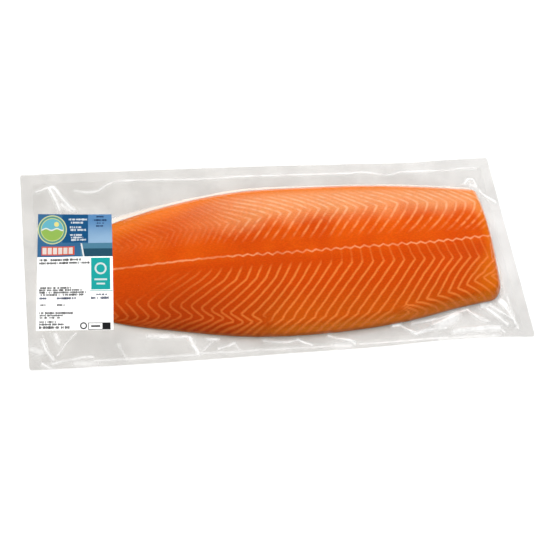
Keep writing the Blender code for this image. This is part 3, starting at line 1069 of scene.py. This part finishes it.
def printedStrokes():
    # a row of upright strokes of uneven height, with gaps as between words
    group, given, made = printGroup("printedStrokes", ("Left", "Right", "Middle", "Height"), "Mask")
    cell = maths(group, "DIVIDE", given["Across"], strokes["pitch"])
    seed = addNode(group, "CombineXYZ", {0: maths(group, "FLOOR", cell), 1: given["Middle"]})
    dice = addNode(group, "TexWhiteNoise", {"Vector": seed.outputs[0]}, noise_dimensions="3D")
    chance = dice.outputs["Value"]
    word = maths(group, "GREATER_THAN", chance, strokes["gapShare"])
    width = maths(group, "MULTIPLY_ADD", chance, *strokes["width"])
    stroke = maths(group, "LESS_THAN", maths(group, "FRACT", cell), width)
    height = maths(group, "MULTIPLY_ADD", chance, *strokes["height"])
    off = maths(group, "ABSOLUTE", maths(group, "SUBTRACT", given["Down"], given["Middle"]))
    inY = maths(group, "LESS_THAN", off, product(group, given["Height"], height))
    inX = within(group, given["Across"], given["Left"], given["Right"])
    shown = product(group, product(group, word, stroke), product(group, inY, inX))
    group.links.new(shown, made["Mask"])
    return group


def labelMaterial():
    shapes = printShapes
    material = newMaterial("printedLabelPaper")
    tree = material.node_tree
    uv = addNode(tree, "UVMap", uv_map="labelFace").outputs[0]
    parts = addNode(tree, "SeparateXYZ", {0: uv}).outputs
    across = product(tree, parts["X"], sticker["width"] * 1000)
    down = product(tree, maths(tree, "SUBTRACT", 1.0, parts["Y"]), sticker["height"] * 1000)
    box, oval, row = printedBox(), printedOval(), printedStrokes()

    def shape(group, *measures):
        node = addNode(tree, "Group", node_tree=group)
        for socket, value in zip(node.inputs, (across, down, *measures)):
            feed(tree, socket, value)
        return node.outputs[0]

    def below(value, limit):
        return maths(tree, "LESS_THAN", value, limit)

    def near(value, limit):
        return below(maths(tree, "ABSOLUTE", value), limit)

    # masks and inks in the order in which they are printed
    layers = [(shape(box, *sides), shade) for *sides, shade in printBlocks]
    # the light blue field fades downwards
    sky = product(tree, shape(box, *shapes["sky"]), mapped(tree, down, *shapes["skyFade"]))
    layers.append((sky, ink(160, 198, 232)))
    # a slanted white edge beside the strip, and pale upright tiles in the red field
    start, lean, halfWidth = shapes["slant"]
    slant = maths(tree, "MULTIPLY_ADD", down, lean, maths(tree, "SUBTRACT", across, start))
    edge = near(slant, halfWidth)
    layers.append((product(tree, edge, shape(box, *shapes["slantBox"])), ink(252, 252, 252)))
    tiles = maths(tree, "SUBTRACT", across, shapes["tileBox"][0])
    tiles = maths(tree, "FRACT", maths(tree, "DIVIDE", tiles, shapes["tilePitch"]))
    tiles = below(tiles, shapes["tileShare"])
    layers.append((product(tree, tiles, shape(box, *shapes["tileBox"])), ink(252, 240, 232)))

    # a round seal: pale rim, green band, sky over fields, with a plain sun and a wave
    reach = shape(oval, *shapes["seal"])
    layers += [(below(reach, edge), shade) for edge, shade in shapes["sealRings"]]
    turn, height, middle, halfWidth = shapes["wave"]
    wave = maths(tree, "MULTIPLY_ADD", maths(tree, "SINE", product(tree, across, turn)), height, middle)
    field = maths(tree, "GREATER_THAN", down, wave)
    inner = below(reach, shapes["sealPicture"])
    layers.append((inner, blended(tree, field, ink(112, 196, 214), ink(160, 200, 92))))
    crest = near(maths(tree, "SUBTRACT", down, wave), halfWidth)
    layers.append((product(tree, crest, inner), ink(245, 250, 246)))
    layers.append((below(shape(oval, *shapes["sun"]), 1.0), ink(250, 240, 150)))

    # the teal field: a plain ring over two bars
    ring = within(tree, shape(oval, *shapes["ring"]), shapes["ringHole"], 1.0)
    layers += [(mask, tealPaleInk) for mask in (ring, *(shape(box, *bar) for bar in shapes["bars"]))]

    # the small disc and the pill at the foot
    disc = within(tree, shape(oval, *shapes["disc"]), shapes["discHole"], 1.0)
    layers.append((disc, darkInk))
    layers += [(shape(box, *sides), shade) for *sides, shade in shapes["pill"]]
    for shade, rows in printRows:
        layers += [(shape(row, *measures), shade) for measures in rows]
    colour = paper
    for mask, shade in layers:
        colour = blended(tree, mask, colour, shade)

    fibres = noise(tree, objectPlace(tree), 900.0)
    shader = addNode(tree, "BsdfPrincipled", {
        "Base Color": colour,
        "Roughness": mapped(tree, fibres, 0.3, 0.7, 0.42, 0.52),
        "Specular IOR Level": 0.3,
        "Normal": bumped(tree, fibres, 0.1, 0.0002),
    })
    finishMaterial(tree, shader.outputs[0])
    return material


def buildLabel():
    piece = addGrid("printedLabel", sticker["columns"], sticker["rows"])
    points = pointsOf(piece)
    along, across = points[:, 0] * sticker["width"] / 2, points[:, 1] * sticker["height"] / 2
    turn = sticker["turn"]
    x = sticker["x"] + along * math.cos(turn) - across * math.sin(turn)
    y = sticker["y"] + along * math.sin(turn) + across * math.cos(turn)
    z = filmHeight(x, y)
    # the print is laid on at a slant, so that its rows stay straight over the tail
    raised = z - pouch["filmThickness"]
    slantX, slantY = sticker["slant"][0] * raised, sticker["slant"][1] * raised
    faceX = along + slantX * math.cos(turn) + slantY * math.sin(turn)
    faceY = across + slantY * math.cos(turn) - slantX * math.sin(turn)
    face = np.stack([faceX / sticker["width"] + 0.5, faceY / sticker["height"] + 0.5], axis=1)
    layer = piece.data.uv_layers.new(name="labelFace")
    corners = np.empty(len(piece.data.loops), np.int32)
    piece.data.loops.foreach_get("vertex_index", corners)
    layer.data.foreach_set("uv", face[corners].astype(np.float32).ravel())
    placePoints(piece, x, y, z + sticker["aboveFilm"])
    makeActive(piece)
    sheet = piece.modifiers.new("sheet", "SOLIDIFY")
    sheet.thickness = sticker["thickness"]
    sheet.offset = 1
    bpy.ops.object.modifier_apply(modifier=sheet.name)
    return piece


label = buildLabel()
smoothBelow(label, 40)
label.data.materials.append(labelMaterial())
label.visible_shadow = False
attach(label, "root")
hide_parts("label")
print("label built")


# The studio
studio = {
    "floorSize": 1.7,
    "floorDrop": 0.0004,
    "floorColour": (0.94, 0.94, 0.94, 1.0),
    "cameraPlace": (-0.25347, -0.58769, 1.08149),
    "cameraTurn": (28.726, -8.406, -8.125),
    "lens": 76.8235,
    "worldStrength": 0.04,
    "backdropStrength": 1.0,   # the white wall that the camera sees past the floor
    # name, place, width, height, watts, and whether it shows in reflections instead of lighting
    "lamps": [
        ("keyFromBehind", (0.25, 1.10, 1.30), 1.3, 1.0, 29.0, False),
        ("overheadFill", (-0.2, 0.0, 1.7), 1.8, 1.8, 22.5, False),
        ("frontFill", (0.1, -1.3, 0.9), 1.4, 0.5, 7.0, False),
        ("backSoftbox", (0.1, 1.45, 0.80), 1.8, 0.45, 1.2, True),
        ("leftStrip", (-1.4, 0.4, 0.8), 0.12, 1.0, 3.0, True),
        ("rightStrip", (1.4, 0.3, 0.9), 0.15, 1.0, 1.5, True),
    ],
}


def buildStudio():
    deselectAll()
    bpy.ops.mesh.primitive_plane_add(size=studio["floorSize"])
    floor = bpy.context.active_object
    floor.name = floor.data.name = "floor"
    for vertex in floor.data.vertices:
        vertex.co.z = -studio["floorDrop"]
    sheet = newMaterial("whitePaper")
    shader = addNode(sheet.node_tree, "BsdfPrincipled", {
        "Base Color": studio["floorColour"],
        "Roughness": 0.9,
        "Specular IOR Level": 0.0,
    })
    finishMaterial(sheet.node_tree, shader.outputs[0])
    floor.data.materials.append(sheet)

    world = bpy.context.scene.world or bpy.data.worlds.new("studio")
    bpy.context.scene.world = world
    world.use_nodes = True
    background = world.node_tree.nodes["Background"]
    background.inputs["Color"].default_value = (1, 1, 1, 1)
    seen = addNode(world.node_tree, "LightPath").outputs["Is Camera Ray"]
    extra = studio["backdropStrength"] - studio["worldStrength"]
    strength = maths(world.node_tree, "MULTIPLY_ADD", seen, extra, studio["worldStrength"])
    feed(world.node_tree, background.inputs["Strength"], strength)

    for name, place, width, height, watts, mirrored in studio["lamps"]:
        deselectAll()
        bpy.ops.object.light_add(type="AREA", location=place)
        lamp = bpy.context.active_object
        lamp.name = lamp.data.name = name
        lamp.data.shape = "RECTANGLE"
        lamp.data.size = width
        lamp.data.size_y = height
        lamp.data.energy = watts
        lamp.rotation_euler = (-lamp.location).to_track_quat("-Z", "Y").to_euler()
        lamp.visible_glossy = mirrored
        lamp.visible_diffuse = not mirrored

    deselectAll()
    turn = [math.radians(angle) for angle in studio["cameraTurn"]]
    bpy.ops.object.camera_add(location=studio["cameraPlace"], rotation=turn)
    camera = bpy.context.active_object
    camera.data.sensor_width = 36.0
    camera.data.lens = studio["lens"]
    bpy.context.scene.camera = camera
    bpy.context.scene.view_settings.view_transform = "Standard"


buildStudio()
print("studio set")
